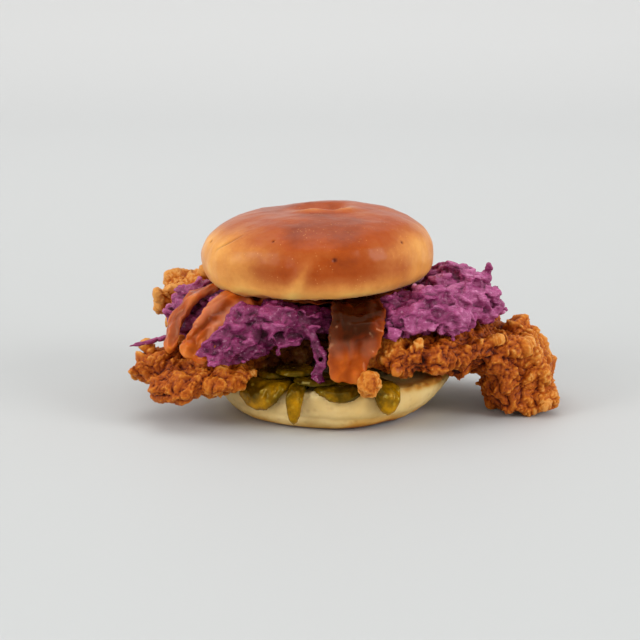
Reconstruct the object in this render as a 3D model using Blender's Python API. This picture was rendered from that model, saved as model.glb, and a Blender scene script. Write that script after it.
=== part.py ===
"""Fried chicken sandwich: a split brioche bun, pickle slices, two pieces of craggy fried chicken,
creamy red cabbage slaw and a thick amber sauce that runs out at the front and at the left.

Sizes are in millimetres and become metres where a mesh is made. +X is the diner's right, -Y faces
the diner, +Z is up, and the origin is the centre of the bun's flat underside.
"""

import math
import random

import bmesh
import bpy
from mathutils import Euler, Matrix, Vector, noise
from mathutils.bvhtree import BVHTree

MM = 0.001
CLEARANCE = 0.4  # left between solids that rest on each other

# Bun
BUN_RADIUS = 54.0
BASE_HEIGHT = 18.5
TOP_HEIGHT = 33.4
TOP_UNDERSIDE = 58.6
TOP_SHIFT = -8.8  # the lid sits a little to the left of the base
TOP_TILT = math.radians(2.0)  # and its right side is higher
BUN_SEGMENTS = 40
# Outlines from the axis under the bun, out round the edge and back to the axis, as shares of
# radius and height
BASE_OUTLINE = ((0.0, 0.0), (0.5, 0.0), (0.72, 0.0), (0.84, 0.0), (0.93, 0.1), (0.985, 0.33),
                (1.0, 0.6), (0.985, 0.86), (0.955, 1.0), (0.6, 0.975), (0.0, 0.95))
TOP_OUTLINE = ((0.0, 0.0), (0.42, 0.0), (0.8, 0.0), (0.9, 0.04), (0.975, 0.15), (1.005, 0.32),
               (1.0, 0.5), (0.945, 0.68), (0.84, 0.82), (0.68, 0.92), (0.48, 0.975),
               (0.29, 0.995), (0.13, 1.0), (0.0, 1.0))
# The base curls up off the table at its right: the direction of the curl from the front in degrees,
# its half width, the radius at which it starts and its height at the edge
CURL_MIDDLE, CURL_SPREAD = 82.0, 78.0
CURL_START, CURL_HEIGHT = 38.5, 12.5
# Hollows round the lid's side: angle from the front in degrees, height share, half width in
# degrees, half height as a share, depth
LID_HOLLOWS = ((-27.0, 0.3, 20.0, 0.3, 2.0), (17.0, 0.36, 27.0, 0.33, 2.4),
               (70.0, 0.4, 30.0, 0.4, 1.2), (150.0, 0.35, 34.0, 0.4, 2.0),
               (-120.0, 0.38, 30.0, 0.4, 1.6))
DIMPLE_PLACE = (3.0, 3.0)  # from the lid's middle
DIMPLE_RADIUS = 14.0
DIMPLE_DEPTH = 4.2

# Chicken
CHICKEN_FLOOR = BASE_HEIGHT + 2.9  # the pickles' upper side, on which the chicken lies
FLOOR_GAP = 0.1  # under the end of the right piece, which hangs down to the table
CRAG_HEIGHT = 4.2
CRAG_PITCH = 11.0
LEFT_SEED, RIGHT_SEED = 2.0, 5.0
BATTER_GRAIN = 1.5  # the size of the cells in which a piece and its crumbs melt together
CHICKEN_TRIANGLES = 1900  # a piece, before its neighbours are cut out of it

# Slaw
SLAW_RELIEF = 3.0
SLAW_SEED = 4.0
SHRED_WIDTH = 3.8
SHRED_THICKNESS = 2.4
SHRED_STEPS = 4

SAUCE_THICKNESS = 3.6
PICKLE_THICKNESS = 2.2
RIM_ROUNDING = 3.0  # of a pickle slice where it bends over the base's rim


def clear_scene():
    for old in list(bpy.data.objects):
        bpy.data.objects.remove(old)


def material(name, colour, roughness):
    made = bpy.data.materials.new(name)
    made.use_nodes = True
    shader = made.node_tree.nodes["Principled BSDF"]
    shader.inputs["Base Color"].default_value = (*colour, 1.0)
    shader.inputs["Roughness"].default_value = roughness
    shader.inputs["Metallic"].default_value = 0.0
    return made


def object_of(name, shape, finish=None, smooth=False):
    """A linked object from a bmesh in millimetres, with its normals out."""
    bmesh.ops.recalc_face_normals(shape, faces=shape.faces)
    bmesh.ops.scale(shape, vec=(MM, MM, MM), verts=shape.verts)
    mesh = bpy.data.meshes.new(name)
    shape.to_mesh(mesh)
    shape.free()
    if smooth:
        mesh.shade_smooth()
    made = bpy.data.objects.new(name, mesh)
    bpy.context.scene.collection.objects.link(made)
    if finish:
        mesh.materials.append(finish)
    return made


def bridge(shape, rings):
    """Joins closed rings of equal length with quads."""
    for lower, upper in zip(rings, rings[1:]):
        count = len(lower)
        for i in range(count):
            j = (i + 1) % count
            shape.faces.new((lower[i], lower[j], upper[j], upper[i]))


def fan(shape, centre, ring):
    """Closes a ring with triangles to a centre point."""
    for i, corner in enumerate(ring):
        shape.faces.new((corner, ring[(i + 1) % len(ring)], centre))


def enlarge(shape, grow):
    """Moves every point out along its normal, to make a cutter that leaves a gap."""
    if grow:
        bmesh.ops.recalc_face_normals(shape, faces=shape.faces)
        shape.normal_update()
        for vertex in shape.verts:
            vertex.co += vertex.normal * grow


def smooth_path(points, count):
    """Points along a Catmull-Rom curve through the given ones."""
    ends = [points[0] * 2 - points[1], *points, points[-1] * 2 - points[-2]]
    found = []
    for i in range(count):
        at = i / (count - 1) * (len(points) - 1)
        step = min(int(at), len(points) - 2)
        t = at - step
        a, b, c, d = ends[step:step + 4]
        found.append(0.5 * (2 * b + (c - a) * t + (2 * a - 5 * b + 4 * c - d) * t * t
                            + (3 * b - a - 3 * c + d) * t ** 3))
    return found


def bump(distance):
    """1 at the middle of a dent, falling smoothly to 0 at distance 1."""
    share = min(1.0, distance)
    return (1 - share * share) ** 2


def wobble(point, size, pitch, seed):
    return size * noise.noise(point / pitch + Vector((seed, 0.0, 0.0)))


# Bun


def turned(outline, radius, height, segments):
    """A lathe shape about Z from an outline whose first and last points are on the axis."""
    shape = bmesh.new()
    first = shape.verts.new((0.0, 0.0, outline[0][1] * height))
    last = shape.verts.new((0.0, 0.0, outline[-1][1] * height))
    angles = [2 * math.pi * i / segments for i in range(segments)]
    rings = [
        [shape.verts.new((share * radius * math.cos(a), share * radius * math.sin(a), rise * height))
         for a in angles]
        for share, rise in outline[1:-1]
    ]
    bridge(shape, rings)
    fan(shape, first, rings[0])
    fan(shape, last, rings[-1])
    return shape


def dent_lid(point):
    """Presses the hollows of the lid's side, and its dimple, into a point of it."""
    out = Vector((point.x, point.y, 0.0))
    rise = point.z / TOP_HEIGHT
    if out.length > 1.0 and rise > 0.02:
        angle = math.degrees(math.atan2(out.x, -out.y))
        for middle, level, wide, tall, depth in LID_HOLLOWS:
            turn = (angle - middle + 180.0) % 360.0 - 180.0
            away = math.hypot(turn / wide, (rise - level) / tall)
            point = point - out.normalized() * depth * bump(away)
    if rise > 0.7:
        x, y = DIMPLE_PLACE
        away = math.hypot(point.x - x, (point.y - y) * 1.2)
        lip = bump(abs(away - DIMPLE_RADIUS) / (DIMPLE_RADIUS * 0.5))
        point = point + Vector((0, 0, lip - DIMPLE_DEPTH * bump(away / DIMPLE_RADIUS)))
    return point + Vector((0.0, 0.0, wobble(point, 1.3, 26.0, 3.0) * min(1.0, rise * 2)))


def bun_top(grow=0.0):
    shape = turned(TOP_OUTLINE, BUN_RADIUS, TOP_HEIGHT, BUN_SEGMENTS)
    for vertex in shape.verts:
        out = Vector((vertex.co.x, vertex.co.y, 0.0))
        if out.length > 1.0:
            vertex.co += out.normalized() * wobble(vertex.co, 2.0, 30.0, 8.0)
        vertex.co = dent_lid(vertex.co)
    enlarge(shape, grow)
    place = Matrix.Translation((TOP_SHIFT, 0.0, TOP_UNDERSIDE)) @ Matrix.Rotation(-TOP_TILT, 4, "Y")
    bmesh.ops.transform(shape, matrix=place, verts=shape.verts)
    return shape


def curl(point):
    """How far a point of the base's underside is lifted: most at the rim, at the base's right."""
    angle = math.degrees(math.atan2(point.x, -point.y))
    share = max(0.0, (math.hypot(point.x, point.y) - CURL_START) / (BUN_RADIUS - CURL_START))
    under = 1 - point.z / BASE_HEIGHT
    return CURL_HEIGHT * min(1.0, share) ** 1.2 * bump(abs(angle - CURL_MIDDLE) / CURL_SPREAD) * under


def bun_base():
    shape = turned(BASE_OUTLINE, BUN_RADIUS, BASE_HEIGHT, BUN_SEGMENTS)
    for vertex in shape.verts:
        out = Vector((vertex.co.x, vertex.co.y, 0.0))
        if vertex.co.z > 0.5 and out.length > 1.0:
            vertex.co += out.normalized() * wobble(vertex.co, 1.2, 24.0, 1.0)
        vertex.co.z += curl(vertex.co)
    return shape


# Lobes: the rounded masses of which the chicken and the slaw are made


def spread(count):
    """Directions spread evenly over a sphere along a golden spiral."""
    turn = math.pi * (3 - math.sqrt(5))
    for i in range(count):
        z = 1 - 2 * (i + 0.5) / count
        flat = math.sqrt(1 - z * z)
        yield Vector((flat * math.cos(turn * i), flat * math.sin(turn * i), z))


class Lobe:
    """A rounded mass, fuller than an ellipsoid where its fullness is over 2."""

    def __init__(self, centre, radii, turn=(0.0, 0.0, 0.0), fullness=2.3):
        self.centre = Vector(centre)
        self.radii = Vector(radii)
        self.turn = Euler([math.radians(a) for a in turn]).to_matrix()
        self.fullness = fullness

    def at(self, direction, lift=0.0):
        """The surface point in that direction, lifted off the surface."""
        size = sum(abs(d) ** self.fullness for d in direction) ** (1 / self.fullness)
        reach = Vector([r * d / size for r, d in zip(self.radii, direction)])
        return self.centre + self.turn @ (reach + direction * lift)

    def holds(self, point, margin=0.0):
        """Whether the point lies deeper inside than the margin."""
        local = self.turn.transposed() @ (point - self.centre)
        shares = [abs(c) / max(0.1, r - margin) for c, r in zip(local, self.radii)]
        return sum(s ** self.fullness for s in shares) < 1


def crag(point, size, pitch, seed):
    """Rounded lumps with sharp valleys between them, which is how fried batter rises."""
    moved = point / pitch + Vector((seed, seed * 0.7, 0.0))
    coarse = abs(noise.noise(moved))
    fine = abs(noise.noise(moved * 2.3 + Vector((5.0, 0.0, 2.0))))
    return size * (0.55 - 1.6 * coarse) + size * 0.45 * (0.4 - fine)


def lobe_shape(lobe, detail, relief=0.0, seed=0.0, grow=0.0):
    shape = bmesh.new()
    bmesh.ops.create_icosphere(shape, subdivisions=detail, radius=1.0)
    for vertex in shape.verts:
        direction = vertex.co.normalized()
        rise = crag(lobe.at(direction), relief, CRAG_PITCH, seed) if relief else 0.0
        vertex.co = lobe.at(direction, rise + grow)
        vertex.co.z = max(vertex.co.z, -grow)
    return shape


# Chicken

LEFT_LOBES = [
    Lobe((-36.0, 6.0, 31.0), (39.0, 34.0, 15.0), fullness=2.8),
    Lobe((-59.0, -38.0, 21.5), (24.5, 12.5, 8.0), (10.0, -10.0, 10.0)),
    Lobe((-76.0, -20.0, 22.5), (16.5, 13.0, 6.5), (12.0, -4.0, 20.0)),
    Lobe((-57.0, 4.0, 34.0), (19.0, 26.0, 11.0), (20.0, 0.0, 0.0)),
    Lobe((-67.5, 24.0, 45.5), (16.0, 17.0, 10.5), (20.0, -8.0, 10.0)),
]
RIGHT_LOBES = [
    Lobe((40.0, 4.0, 31.0), (38.0, 38.0, 15.0), fullness=2.8),
    Lobe((35.0, -36.0, 32.0), (25.0, 10.5, 8.0), (0.0, -4.0, 8.0)),
    Lobe((68.0, -4.0, 29.5), (20.0, 28.0, 10.0), (0.0, 22.0, 0.0)),
    Lobe((88.0, -1.0, 19.5), (11.5, 24.0, 18.5), (0.0, -16.0, 8.0)),
    Lobe((76.5, -18.0, 14.0), (8.5, 12.0, 13.0), (6.0, 10.0, 0.0)),
    Lobe((88.0, -20.0, 5.0), (11.0, 7.0, 5.5), (0.0, 4.0, -20.0)),
]
# Larger lumps of batter, as places on the pieces
LEFT_CHUNKS = [
    Lobe((-82.0, 18.0, 41.5), (5.0, 6.0, 4.5)), Lobe((-77.0, 28.0, 54.0), (6.5, 6.0, 5.0)),
    Lobe((-65.0, 24.0, 55.5), (6.5, 6.0, 5.0)), Lobe((-81.0, 13.0, 49.5), (5.0, 5.0, 5.0)),
    Lobe((-87.0, -22.0, 23.5), (6.0, 6.0, 5.0)), Lobe((-80.0, -27.0, 27.0), (6.0, 6.0, 4.0)),
    Lobe((-70.0, -22.0, 29.5), (6.5, 6.0, 4.5)), Lobe((-38.5, -45.0, 23.5), (6.5, 5.0, 5.5)),
    Lobe((-46.5, -49.0, 25.5), (7.0, 5.0, 5.5)), Lobe((-52.5, -50.0, 21.0), (7.0, 4.5, 5.0)),
    Lobe((-60.0, -49.0, 24.5), (7.5, 4.5, 6.0)), Lobe((-70.0, -48.0, 17.0), (7.5, 5.0, 5.5)),
    Lobe((-80.0, -40.0, 15.5), (6.0, 6.5, 5.0)), Lobe((-74.0, -44.0, 23.0), (6.0, 5.0, 4.5)),
    Lobe((-58.0, 42.0, 33.0), (8.0, 6.0, 6.0)), Lobe((-36.0, 42.0, 30.0), (9.0, 6.0, 6.5)),
    Lobe((-15.0, 39.0, 29.0), (8.0, 6.0, 6.0)), Lobe((-24.0, 41.0, 37.0), (7.0, 5.5, 5.0)),
    Lobe((-78.0, 36.0, 42.0), (6.0, 6.5, 6.0)), Lobe((-70.0, 41.0, 49.0), (6.5, 5.0, 5.0)),
]
RIGHT_CHUNKS = [
    Lobe((25.0, -45.0, 31.0), (6.5, 5.0, 5.5)), Lobe((34.0, -46.5, 34.0), (7.0, 5.0, 6.0)),
    Lobe((45.0, -44.0, 34.0), (7.0, 5.5, 6.0)), Lobe((55.0, -37.0, 31.0), (7.5, 6.0, 6.0)),
    Lobe((64.0, -30.0, 33.0), (6.5, 6.0, 7.0)), Lobe((73.0, -29.0, 27.0), (6.5, 5.0, 8.0)),
    Lobe((81.0, -26.0, 33.0), (6.5, 6.0, 6.5)), Lobe((90.5, -8.0, 35.5), (5.5, 6.5, 5.0)),
    Lobe((97.5, -8.0, 20.0), (5.0, 8.0, 7.0)), Lobe((93.5, -22.0, 20.0), (6.5, 6.0, 8.0)),
    Lobe((97.0, -19.0, 7.5), (7.0, 7.5, 5.5)), Lobe((76.0, -30.0, 15.0), (6.5, 4.5, 6.0)),
    Lobe((80.0, -27.0, 5.5), (6.5, 5.0, 5.0)), Lobe((42.0, -45.0, 28.5), (6.5, 4.5, 4.5)),
    Lobe((84.0, -6.0, 39.0), (6.5, 8.0, 4.5)), Lobe((95.0, 12.0, 22.0), (6.0, 7.0, 7.0)),
    Lobe((89.0, 16.0, 32.0), (6.5, 7.0, 5.5)), Lobe((86.0, 23.0, 14.0), (7.0, 6.0, 7.0)),
    Lobe((70.0, 25.0, 29.0), (8.0, 6.0, 6.5)), Lobe((54.0, 37.0, 31.0), (8.5, 6.5, 6.0)),
    Lobe((34.0, 43.0, 28.5), (9.0, 6.0, 6.0)), Lobe((16.0, 41.0, 30.0), (7.5, 5.5, 5.5)),
]
# A lone crumb of batter that stands on the pickles in front of the sauce
LONE_CRUMB = Lobe((14.6, -58.0, 24.3), (5.6, 5.2, 6.8), (0.0, 14.0, 0.0), fullness=2.6)


def crumbs_on(lobes, per_lobe, seed):
    """Lumps of batter spread over the lobes, each with its own turn and size."""
    draw = random.Random(seed)
    found = []
    for lobe in lobes:
        others = [other for other in lobes if other is not lobe]
        for direction in spread(per_lobe):
            size = draw.uniform(3.0, 4.8)
            radii = (size * draw.uniform(1.0, 1.5), size * draw.uniform(0.8, 1.2),
                     size * draw.uniform(0.6, 0.9))
            turn = [draw.uniform(0, 180) for _ in range(3)]
            middle = lobe.at(direction, draw.uniform(0.0, 0.4) * size)
            hidden = abs(middle.x) < 46 and abs(middle.y) < 36
            buried = any(other.holds(middle, 1.0) for other in others)
            hanging = direction.z < -0.45 and middle.z < CHICKEN_FLOOR
            if not buried and not hidden and not hanging:
                found.append(Lobe(middle, radii, turn))
    return found


# Sauce: a pool under the lid and the runs that leave it

SAUCE_POOL = Lobe((-6.0, -2.0, 56.2), (42.0, 36.0, 2.2))
# Each run's stops are x, y, z and width
SAUCE_RUNS = (
    # Down the front, over the chicken to the pickles
    ((7.5, -28.0, 56.0, 22.0), (9.0, -40.0, 55.5, 26.0), (8.5, -48.0, 49.0, 26.5),
     (6.5, -51.5, 39.5, 25.0), (4.5, -54.0, 30.5, 20.0), (3.8, -55.5, 24.5, 15.5)),
    # The wide left run, which ends between the chicken's front lobe and its ledge
    ((-32.0, -20.0, 55.6, 17.0), (-42.0, -31.0, 56.5, 20.0), (-50.0, -39.0, 51.0, 20.0),
     (-57.0, -43.0, 43.5, 18.5), (-62.5, -44.0, 37.0, 17.0), (-64.5, -42.5, 32.5, 14.0)),
    # The thin outer loop, which ends on the ledge
    ((-40.0, 2.0, 56.0, 9.0), (-53.0, -6.0, 57.5, 12.0), (-64.5, -14.0, 54.0, 12.5),
     (-72.0, -22.0, 46.0, 12.5), (-75.0, -26.5, 38.5, 14.5), (-75.5, -28.0, 33.5, 13.5)),
    # Behind, where the photograph doesn't reach
    ((22.0, 20.0, 56.0, 16.0), (29.0, 35.0, 55.0, 17.0), (34.0, 44.0, 48.5, 14.0),
     (36.0, 48.5, 41.0, 11.0), (36.5, 49.5, 35.0, 8.0)),
)


def from_middle(point):
    """Outward and a little up, as seen from the middle of the filling."""
    return Vector((point.x, point.y * 2.4, max(0.0, point.z - 30) * 0.9)).normalized()


def ribbon(stops, thickness, grow=0.0, segments=10, sides=8):
    """A flattened run of sauce through its stops."""
    path = smooth_path([Vector(stop[:3]) for stop in stops], segments)
    widths = [w.x for w in smooth_path([Vector((stop[3], 0, 0)) for stop in stops], segments)]
    shape = bmesh.new()
    rings = []
    for i, (middle, width) in enumerate(zip(path, widths)):
        along = (path[min(i + 1, segments - 1)] - path[max(i - 1, 0)]).normalized()
        across = along.cross(from_middle(middle)).normalized()
        out = across.cross(along).normalized()
        rings.append([
            shape.verts.new(middle + across * math.cos(a) * (width / 2 + grow)
                            + out * math.sin(a) * (thickness / 2 + grow))
            for a in (2 * math.pi * k / sides for k in range(sides))
        ])
    bridge(shape, rings)
    for end, before, ring in ((path[0], path[1], rings[0]), (path[-1], path[-2], rings[-1])):
        tip = end + (end - before).normalized() * (thickness * 0.6 + grow)
        fan(shape, shape.verts.new(tip), ring)
    return shape


def sauce(name, finish=None, grow=0.0):
    pool = object_of(name, lobe_shape(SAUCE_POOL, 2, grow=grow), finish)
    return join(pool, [object_of(name, ribbon(stops, SAUCE_THICKNESS, grow), finish)
                       for stops in SAUCE_RUNS])


# Pickles: round slices that lie on the base, or on other slices, and bend over its rim. Each has
# its angle from the front in degrees, the distance of its middle from the bun's axis, half its
# length, half its width and its level in the stack.

PICKLES = ((-39.0, 49.0, 16.5, 14.2, 0), (-19.5, 52.0, 17.5, 4.0, 0), (1.5, 47.0, 12.0, 13.2, 0),
           (23.5, 48.5, 17.0, 7.4, 0), (-12.5, 44.0, 9.5, 12.0, 1), (-150.0, 47.0, 14.0, 12.0, 0),
           (152.0, 47.5, 15.0, 12.0, 0), (-41.0, 41.0, 9.5, 10.5, 1), (-26.0, 41.5, 9.5, 11.5, 2))


def drape(radius, level):
    """Where a slice is at this distance from the bun's axis, measured along the slice: its
    radius, its height and how far it has turned over the rim."""
    under = CLEARANCE + level * (PICKLE_THICKNESS + CLEARANCE)
    rim, full = BUN_RADIUS * 0.975, math.radians(84)
    bend = RIM_ROUNDING + under
    over = min(full, max(0.0, (radius - rim) / bend))
    past = max(0.0, radius - rim - bend * full)
    flat = min(radius, rim) + bend * math.sin(over) + past * math.cos(full)
    height = BASE_HEIGHT + under - bend * (1 - math.cos(over)) - past * math.sin(full)
    return flat, height, over


def pickle_slice(angle, reach, half_length, half_width, level, grow=0.0, around=16, rings=4):
    shape = bmesh.new()

    def point(sideways, radius, lift):
        flat, height, over = drape(radius, level)
        flat += lift * math.sin(over)
        height += lift * math.cos(over)
        a = math.radians(angle) + sideways / BUN_RADIUS
        return shape.verts.new((flat * math.sin(a), -flat * math.cos(a), height))

    edges = []
    for lift, inset in ((0.0, 0.0), (PICKLE_THICKNESS, 0.1)):
        loops = []
        for k in range(1, rings + 1):
            share = k / rings
            share *= 1 - inset * share ** 3
            turns = [2 * math.pi * i / around for i in range(around)]
            loops.append([point(half_width * share * math.cos(a),
                                reach + half_length * share * math.sin(a), lift) for a in turns])
        bridge(shape, loops)
        fan(shape, point(0.0, reach, lift), loops[0])
        edges.append(loops[-1])
    bridge(shape, edges)
    enlarge(shape, grow)
    return shape


# Slaw: a lumpy heap with shreds of cabbage fused to it

SLAW_LUMPS = [
    Lobe((-6.0, 0.0, 48.0), (56.0, 41.0, 12.0), fullness=2.8),
    Lobe((57.0, -6.0, 52.5), (17.5, 23.0, 11.0), (0.0, 14.0, 0.0)),
    Lobe((44.0, -31.0, 50.5), (17.0, 13.0, 8.5), (10.0, 10.0, 14.0)),
    Lobe((28.0, -36.0, 49.0), (11.0, 10.0, 7.5), (10.0, 0.0, 0.0)),
    Lobe((-27.0, -36.0, 48.0), (22.0, 12.0, 9.0), (14.0, 0.0, -6.0)),
    Lobe((-65.0, -5.0, 45.5), (12.5, 18.0, 7.5), (24.0, -16.0, 0.0)),
    Lobe((20.0, 35.0, 48.0), (40.0, 12.0, 8.0), (-8.0, 0.0, -8.0)),
    Lobe((-45.0, -42.0, 37.5), (14.0, 7.5, 7.0), (0.0, -8.0, 0.0)),
]
# Shreds that stand out by themselves: both ends, and how far the middle sags
STRAYS = (
    ((-72.0, -27.0, 37.5), (-94.0, -22.0, 32.0), 1.2), ((66.0, -8.0, 57.0), (70.5, -6.0, 66.0), -1.0),
    ((-12.0, -44.0, 42.0), (-8.0, -54.0, 22.5), -2.0), ((-13.0, -44.0, 46.0), (-6.0, -53.0, 31.0), 0.0),
    ((-36.0, -45.0, 40.0), (-44.0, -53.5, 29.0), 0.0), ((-47.0, -45.0, 38.0), (-60.0, -56.0, 31.0), 0.5),
    ((-24.0, -44.0, 44.0), (-25.5, -50.0, 33.0), 0.0), ((50.0, 0.0, 60.0), (55.0, -6.0, 67.0), -1.0),
    ((68.0, -20.0, 48.0), (77.5, -23.0, 49.0), 1.0), ((-70.0, 2.0, 52.0), (-82.0, -6.0, 44.0), 1.0),
    ((25.0, -43.0, 48.0), (21.5, -52.0, 36.0), -1.0), ((58.0, -28.0, 50.0), (52.0, -40.0, 40.5), 0.0),
    ((30.0, 43.0, 46.0), (20.0, 52.0, 35.0), 0.0), ((-20.0, 38.0, 48.0), (-34.0, 48.0, 38.0), 0.0),
    ((64.0, -14.0, 56.0), (75.0, -16.0, 60.5), 0.0), ((40.0, -42.0, 50.0), (31.0, -50.0, 43.0), 0.0),
    ((-58.0, -20.0, 50.0), (-66.0, -33.0, 45.0), -1.0), ((-16.0, -45.0, 50.0), (-24.0, -51.0, 44.0), 0.0),
)


def shred_shape(path, twist, grow=0.0):
    """A flat strip along a path, tapered at its ends and twisted along its length."""
    shape = bmesh.new()
    rings = []
    last = len(path) - 1
    for i, middle in enumerate(path):
        along = (path[min(i + 1, last)] - path[max(i - 1, 0)]).normalized()
        side = along.cross(Vector((0.3, 0.2, 1.0))).normalized()
        side = Matrix.Rotation(twist * i / last, 3, along) @ side
        up = side.cross(along)
        full = 0.6 + 0.4 * math.sin(math.pi * (0.15 + 0.7 * i / last))
        half_width = SHRED_WIDTH / 2 * full + grow
        half_thickness = SHRED_THICKNESS / 2 * full + grow
        rings.append([shape.verts.new(middle + side * u * half_width + up * v * half_thickness)
                      for u, v in ((-1, 0), (0, -1), (1, 0), (0, 1))])
    bridge(shape, rings)
    fan(shape, shape.verts.new(path[0] * 1.15 - path[1] * 0.15), rings[0])
    fan(shape, shape.verts.new(path[-1] * 1.15 - path[-2] * 0.15), rings[-1])
    return shape


def shreds_on(lumps, per_lump, seed):
    """Paths and twists of shreds that lie along the lumps, each with a free end."""
    draw = random.Random(seed)
    found = []
    for lump in lumps:
        others = [other for other in lumps if other is not lump]
        for start in spread(per_lump):
            heading = start.cross(Vector([draw.uniform(-1, 1) for _ in range(3)])).normalized()
            sweep = draw.uniform(9.0, 18.0) / max(8.0, sum(lump.radii) / 3)
            free = draw.uniform(-0.5, 2.2)
            twist = draw.uniform(-1.2, 1.2)
            path = []
            for i in range(SHRED_STEPS):
                t = i / (SHRED_STEPS - 1)
                direction = start * math.cos(sweep * t) + heading * math.sin(sweep * t)
                path.append(lump.at(direction, 0.8 + free * t * t))
            under_lid = math.hypot(path[2].x - TOP_SHIFT, path[2].y) < BUN_RADIUS - 12
            if not under_lid and not any(other.holds(path[2], 0.5) for other in others):
                found.append((path, twist))
    return found


def stray_path(start, end, sag):
    start, end = Vector(start), Vector(end)
    shares = [i / (SHRED_STEPS - 1) for i in range(SHRED_STEPS)]
    return [start.lerp(end, t) - Vector((0, 0, sag * math.sin(math.pi * t))) for t in shares]


# Joining, cutting and fitting


def apply_modifiers(target):
    bpy.context.view_layer.update()
    graph = bpy.context.evaluated_depsgraph_get()
    mesh = bpy.data.meshes.new_from_object(target.evaluated_get(graph))
    target.modifiers.clear()
    target.data = mesh


def apply_boolean(target, operation, operands):
    group = bpy.data.collections.new("operands")
    bpy.context.scene.collection.children.link(group)
    for operand in operands:
        group.objects.link(operand)
    step = target.modifiers.new("join or cut", "BOOLEAN")
    step.operation = operation
    step.operand_type = "COLLECTION"
    step.collection = group
    step.solver = "EXACT"
    apply_modifiers(target)
    for operand in operands:
        bpy.data.objects.remove(operand)
    bpy.data.collections.remove(group)
    return keep_largest(target)


def join(core, pieces):
    return apply_boolean(core, "UNION", pieces) if pieces else core


def cut(target, cutters):
    return apply_boolean(target, "DIFFERENCE", cutters)


def keep_largest(target):
    """Drops loose scraps, and bubbles sealed in between fused pieces."""
    shape = bmesh.new()
    shape.from_mesh(target.data)
    unseen = set(shape.verts)
    groups = []
    while unseen:
        group = [unseen.pop()]
        for vertex in group:
            for edge in vertex.link_edges:
                other = edge.other_vert(vertex)
                if other in unseen:
                    unseen.discard(other)
                    group.append(other)
        groups.append(group)
    groups.sort(key=len)
    scraps = [vertex for group in groups[:-1] for vertex in group]
    bmesh.ops.delete(shape, geom=scraps, context="VERTS")
    bmesh.ops.triangulate(shape, faces=shape.faces)
    shape.to_mesh(target.data)
    shape.free()
    return target


def tree_of(target):
    """A search tree of an object's faces, in millimetres."""
    shape = bmesh.new()
    shape.from_mesh(target.data)
    bmesh.ops.scale(shape, vec=(1 / MM,) * 3, verts=shape.verts)
    tree = BVHTree.FromBMesh(shape)
    shape.free()
    return tree


def inside(point, tree):
    """Whether a ray up from the point leaves the solid once more than it enters it."""
    up = Vector((0.013, 0.007, 1.0)).normalized()
    crossings = 0
    hit = tree.ray_cast(point, up)[0]
    while hit:
        crossings += 1
        hit = tree.ray_cast(hit + up * 0.001, up)[0]
    return crossings % 2 == 1


def is_clear(shape, trees):
    """Whether a small enlarged shape touches and enters none of the solids. Frees the shape."""
    own = BVHTree.FromBMesh(shape)
    start = next(iter(shape.verts)).co.copy()
    shape.free()
    return not any(own.overlap(tree) or inside(start, tree) for tree in trees)


def joined_lobes(name, lobes, relief, seed, finish=None, grow=0.0, detail=2):
    core, *rest = [object_of(name, lobe_shape(lobe, detail, relief, seed, grow), finish)
                   for lobe in lobes]
    return join(core, rest)


# Cutters: each a solid enlarged by the clearance


def base_room():
    """The bun's base and the slices on it, as a plain disc that the chicken lies on."""
    shape = bmesh.new()
    bmesh.ops.create_cone(shape, cap_ends=True, segments=48, radius1=BUN_RADIUS + 4.0,
                          radius2=BUN_RADIUS + 4.0, depth=2 * CHICKEN_FLOOR)
    return object_of("cutter", shape)


def floor_room():
    """What is under the table's surface, so that the bun's underside bears the whole."""
    shape = bmesh.new()
    bmesh.ops.create_cube(shape, size=400.0)
    bmesh.ops.translate(shape, vec=(0, 0, FLOOR_GAP - 200.0), verts=shape.verts)
    return object_of("cutter", shape)


def lid_room():
    return object_of("cutter", bun_top(CLEARANCE))


def sauce_room():
    return sauce("cutter", grow=CLEARANCE)


def slices_room():
    return [object_of("cutter", pickle_slice(*sizes, grow=CLEARANCE)) for sizes in PICKLES]


def chicken_room(lobes, seed):
    """The piece's bare lobes, with room above them for the coarser surface of the batter."""
    return joined_lobes("cutter", lobes, CRAG_HEIGHT, seed, grow=3 * CLEARANCE)


def room_of(target):
    """A cutter from a finished solid."""
    shape = bmesh.new()
    shape.from_mesh(target.data)
    bmesh.ops.scale(shape, vec=(1 / MM,) * 3, verts=shape.verts)
    enlarge(shape, CLEARANCE)
    return object_of("cutter", shape)


def battered(name, lobes, crumbs, seed, finish, trees):
    """A piece of chicken: its lobes and the crumbs that cross nothing else, melted together."""
    kept = []
    for i, crumb in enumerate(crumbs):
        relief = 0.2 * min(crumb.radii)
        if is_clear(lobe_shape(crumb, 2, relief, i, CLEARANCE), trees):
            kept.append(object_of("crumb", lobe_shape(crumb, 2, relief, i)))
    piece = join(joined_lobes(name, lobes, CRAG_HEIGHT, seed, finish, detail=3), kept)
    melt = piece.modifiers.new("melt together", "REMESH")
    melt.mode = "VOXEL"
    melt.voxel_size = BATTER_GRAIN * MM
    apply_modifiers(piece)
    thin = piece.modifiers.new("fewer triangles", "DECIMATE")
    thin.ratio = CHICKEN_TRIANGLES / (2 * len(piece.data.polygons))
    apply_modifiers(piece)
    return keep_largest(piece)


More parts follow.
